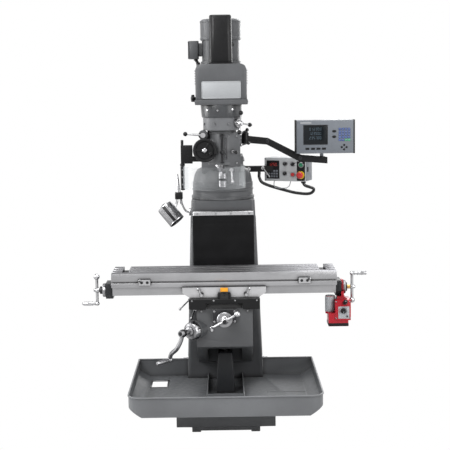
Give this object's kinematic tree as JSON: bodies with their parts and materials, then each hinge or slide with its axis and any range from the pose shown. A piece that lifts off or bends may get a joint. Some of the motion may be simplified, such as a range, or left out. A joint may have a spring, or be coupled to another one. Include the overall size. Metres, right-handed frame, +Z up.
{
  "type": "vertical milling machine",
  "caption": "Knee-type vertical milling machine with ram-mounted swivelling head, T-slotted table, chip tray, table power feed, digital readout, control panel and lamp.",
  "frame": {"origin": "on the floor under the middle of the column's front face", "axes": "+Z up, +X to the operator's right, +Y to the back of the machine"},
  "size_m": [1.6405, 1.38, 2.31],
  "materials": {
    "grey_paint": "satin grey machine enamel, lightly textured",
    "tray_paint": "satin mid-grey enamel on sheet steel",
    "dark_paint": "dark grey enamel",
    "black_paint": "satin black enamel",
    "light_paint": "light grey enamel",
    "black_plastic": "matt black moulded plastic",
    "rubber": "black rubber",
    "ground_iron": "ground and scraped cast iron",
    "bright_steel": "machined bright steel",
    "chrome": "polished chrome plate",
    "clear_plastic": "clear polycarbonate sheet",
    "red_paint": "gloss red enamel on a die casting",
    "orange_plastic": "orange moulded plastic",
    "red_plastic": "red moulded plastic",
    "green_plastic": "green moulded plastic"
  },
  "bodies": {
    "frame": {"base_casting": "grey_paint", "chip_tray": "tray_paint", "column": "grey_paint", "screw_pedestal": "dark_paint", "cover_clamp_strip": "bright_steel", "column_way_cover": "rubber", "lamp_arm": "chrome"},
    "knee_body": {"knee": "grey_paint"},
    "knee_lock": {"knee_lock_lever": "chrome"},
    "lift_screw": {"knee_elevating_screw": "bright_steel"},
    "lift_crank": {"knee_crank": "bright_steel"},
    "cross_crank": {"cross_feed_crank": "chrome"},
    "saddle_body": {"saddle": "ground_iron", "saddle_front_cover": "black_plastic", "limit_switch": "orange_plastic"},
    "saddle_lock": {"saddle_lock_lever": "chrome"},
    "table_lock_l": {"table_lock_left": "chrome"},
    "table_lock_r": {"table_lock_right": "chrome"},
    "table_body": {"table": "ground_iron", "x_bracket_left": "dark_paint", "x_bracket_right": "dark_paint", "power_feed_housing": "red_paint"},
    "long_screw": {"long_feed_screw": "bright_steel", "x_crank_left": "chrome", "x_crank_right": "chrome"},
    "feed_lever": {"power_feed_lever": "black_plastic"},
    "feed_knob": {"power_feed_knob": "black_plastic"},
    "turret_body": {"turret": "grey_paint", "control_arm": "black_paint", "control_panel": "light_paint", "panel_cable": "rubber"},
    "direction_switch": {"direction_knob": "black_plastic"},
    "speed_dial": {"speed_knob": "black_plastic"},
    "coolant_switch": {"coolant_knob": "black_plastic"},
    "reset_push": {"reset_button": "red_plastic"},
    "start_push": {"start_button": "green_plastic"},
    "stop_push": {"stop_button": "red_plastic"},
    "ram_body": {"ram": "grey_paint"},
    "dro_arm_body": {"dro_arm": "black_paint"},
    "dro_body": {"dro_display": "light_paint"},
    "adapter_body": {"ram_adapter": "grey_paint"},
    "head_body": {"head_casting": "grey_paint", "gear_housing": "light_paint", "belt_housing": "grey_paint", "head_motor": "grey_paint", "motor_terminal_box": "grey_paint", "motor_cable": "rubber", "drawbar_cover": "black_plastic", "drive_belt": "rubber", "guard_post": "black_plastic"},
    "quill_body": {"quill": "bright_steel"},
    "spindle_body": {"spindle": "bright_steel"},
    "driven_pulley": {"spindle_pulley": "bright_steel"},
    "driver_pulley": {"motor_pulley": "bright_steel"},
    "guard_body": {"spindle_guard": "clear_plastic"},
    "wheel_body": {"fine_feed_wheel": "black_plastic"},
    "range_body": {"range_lever": "chrome"},
    "quill_lever_body": {"quill_feed_lever": "chrome"},
    "quill_lock_body": {"quill_lock_lever": "chrome"},
    "lamp_body": {"lamp_shade": "chrome"}
  },
  "joints": [
    {"name": "knee_lift", "type": "slide", "parent": "frame", "child": "knee_body", "axis": [0, 0, 1], "range_m": [-0.02, 0.325], "deforming": ["column_way_cover"]},
    {"name": "lift_screw_turn", "type": "hinge", "parent": "knee_body", "child": "lift_screw", "pos_m": [0, -0.25, 0.3], "axis": [0, 0, 1], "continuous": true},
    {"name": "knee_crank_turn", "type": "hinge", "parent": "knee_body", "child": "lift_crank", "pos_m": [-0.23462, -0.52961, 0.555], "axis": [-0.6428, -0.766, 0], "continuous": true},
    {"name": "knee_lock_turn", "type": "hinge", "parent": "knee_body", "child": "knee_lock", "pos_m": [-0.1588, -0.33, 0.645], "axis": [-1, 0, 0], "range_deg": [-10, 30]},
    {"name": "saddle_cross", "type": "slide", "parent": "knee_body", "child": "saddle_body", "axis": [0, 1, 0], "range_m": [-0.055, 0.115]},
    {"name": "cross_feed_turn", "type": "hinge", "parent": "knee_body", "child": "cross_crank", "pos_m": [0, -0.4583, 0.632], "axis": [0, -1, 0], "continuous": true},
    {"name": "saddle_lock_turn", "type": "hinge", "parent": "saddle_body", "child": "saddle_lock", "pos_m": [-0.1903, -0.375, 0.712], "axis": [-1, 0, 0], "range_deg": [-20, 20]},
    {"name": "table_lock_left_turn", "type": "hinge", "parent": "saddle_body", "child": "table_lock_l", "pos_m": [-0.128, -0.457, 0.757], "axis": [0, -1, 0], "range_deg": [-25, 25]},
    {"name": "table_lock_right_turn", "type": "hinge", "parent": "saddle_body", "child": "table_lock_r", "pos_m": [0.124, -0.457, 0.757], "axis": [0, -1, 0], "range_deg": [-25, 25]},
    {"name": "table_long", "type": "slide", "parent": "saddle_body", "child": "table_body", "axis": [1, 0, 0], "range_m": [-0.37, 0.37]},
    {"name": "long_feed_turn", "type": "hinge", "parent": "table_body", "child": "long_screw", "pos_m": [0, -0.313, 0.766], "axis": [1, 0, 0], "continuous": true},
    {"name": "power_lever_turn", "type": "hinge", "parent": "table_body", "child": "feed_lever", "pos_m": [0.682, -0.405, 0.69], "axis": [0, -1, 0], "range_deg": [-30, 30]},
    {"name": "power_knob_turn", "type": "hinge", "parent": "table_body", "child": "feed_knob", "pos_m": [0.6745, -0.405, 0.644], "axis": [0, -1, 0], "range_deg": [0, 270]},
    {"name": "ram_slide", "type": "slide", "parent": "turret_body", "child": "ram_body", "axis": [0, -1, 0], "range_m": [-0.05, 0.3]},
    {"name": "turret_swivel", "type": "hinge", "parent": "frame", "child": "turret_body", "pos_m": [0, 0.19, 1.24], "axis": [0, 0, 1], "range_deg": [-140, 140]},
    {"name": "dro_arm_swing", "type": "hinge", "parent": "ram_body", "child": "dro_arm_body", "pos_m": [0.14, 0.1, 1.6], "axis": [0, 0, 1], "range_deg": [-40, 10]},
    {"name": "dro_display_turn", "type": "hinge", "parent": "dro_arm_body", "child": "dro_body", "pos_m": [0.6, 0.1, 1.5], "axis": [0, 0, 1], "range_deg": [-2, 25]},
    {"name": "head_nod", "type": "hinge", "parent": "ram_body", "child": "adapter_body", "pos_m": [0, -0.109, 1.585], "axis": [1, 0, 0], "range_deg": [-30, 15]},
    {"name": "head_tilt", "type": "hinge", "parent": "adapter_body", "child": "head_body", "pos_m": [0, -0.165, 1.585], "axis": [0, 1, 0], "range_deg": [-90, 90]},
    {"name": "quill_feed", "type": "slide", "parent": "head_body", "child": "quill_body", "axis": [0, 0, 1], "range_m": [-0.127, 0]},
    {"name": "spindle_spin", "type": "hinge", "parent": "quill_body", "child": "spindle_body", "pos_m": [0, -0.31, 1.35], "axis": [0, 0, 1], "continuous": true},
    {"name": "spindle_pulley_spin", "type": "hinge", "parent": "head_body", "child": "driven_pulley", "pos_m": [0, -0.31, 1.9], "axis": [0, 0, 1], "continuous": true},
    {"name": "motor_spin", "type": "hinge", "parent": "head_body", "child": "driver_pulley", "pos_m": [0, -0.12, 1.9], "axis": [0, 0, 1], "continuous": true},
    {"name": "quill_lever_turn", "type": "hinge", "parent": "head_body", "child": "quill_lever_body", "pos_m": [0.08424, -0.37318, 1.712], "axis": [0.8, -0.6, 0], "range_deg": [-361, 1]},
    {"name": "quill_lock_turn", "type": "hinge", "parent": "head_body", "child": "quill_lock_body", "pos_m": [0.05, -0.375, 1.453], "axis": [0, -1, 0], "range_deg": [-30, 20]},
    {"name": "fine_wheel_turn", "type": "hinge", "parent": "head_body", "child": "wheel_body", "pos_m": [-0.097, -0.382, 1.565], "axis": [0, -1, 0], "continuous": true},
    {"name": "range_lever_turn", "type": "hinge", "parent": "head_body", "child": "range_body", "pos_m": [-0.106, -0.372, 1.648], "axis": [0, 1, 0], "range_deg": [-15, 45]},
    {"name": "guard_swing", "type": "hinge", "parent": "head_body", "child": "guard_body", "pos_m": [-0.226, -0.31, 1.4], "axis": [0, 0, 1], "range_deg": [-100, 0]},
    {"name": "lamp_swing", "type": "hinge", "parent": "frame", "child": "lamp_body", "pos_m": [-0.278, 0.085, 1.243], "axis": [0, 0, 1], "range_deg": [-25, 25]},
    {"name": "direction_knob_turn", "type": "hinge", "parent": "turret_body", "child": "direction_switch", "pos_m": [0.38683, 0.23919, 1.438], "axis": [-0.4067, -0.9135, 0], "range_deg": [-45, 45]},
    {"name": "speed_knob_turn", "type": "hinge", "parent": "turret_body", "child": "speed_dial", "pos_m": [0.43342, 0.21844, 1.436], "axis": [-0.4067, -0.9135, 0], "range_deg": [0, 270]},
    {"name": "coolant_knob_turn", "type": "hinge", "parent": "turret_body", "child": "coolant_switch", "pos_m": [0.38591, 0.23959, 1.378], "axis": [-0.4067, -0.9135, 0], "range_deg": [0, 90]},
    {"name": "reset_press", "type": "slide", "parent": "turret_body", "child": "reset_push", "axis": [0.4067, 0.9135, 0], "range_m": [0, 0.004], "stiffness_N_per_m": 300},
    {"name": "start_press", "type": "slide", "parent": "turret_body", "child": "start_push", "axis": [0.4067, 0.9135, 0], "range_m": [0, 0.004], "stiffness_N_per_m": 300},
    {"name": "stop_press", "type": "slide", "parent": "turret_body", "child": "stop_push", "axis": [0.4067, 0.9135, 0], "range_m": [0, 0.006], "stiffness_N_per_m": 300}
  ],
  "couplings": [
    {"joint": "lift_screw_turn", "follows": "knee_lift", "rad_per_m": 2513.3},
    {"joint": "knee_crank_turn", "follows": "knee_lift", "rad_per_m": 2513.3},
    {"joint": "cross_feed_turn", "follows": "saddle_cross", "rad_per_m": 1256.6},
    {"joint": "long_feed_turn", "follows": "table_long", "rad_per_m": 1256.6},
    {"joint": "quill_lever_turn", "follows": "quill_feed", "rad_per_m": 49.474},
    {"joint": "spindle_pulley_spin", "follows": "spindle_spin", "ratio": 1},
    {"joint": "motor_spin", "follows": "spindle_spin", "ratio": 1.9643}
  ]
}
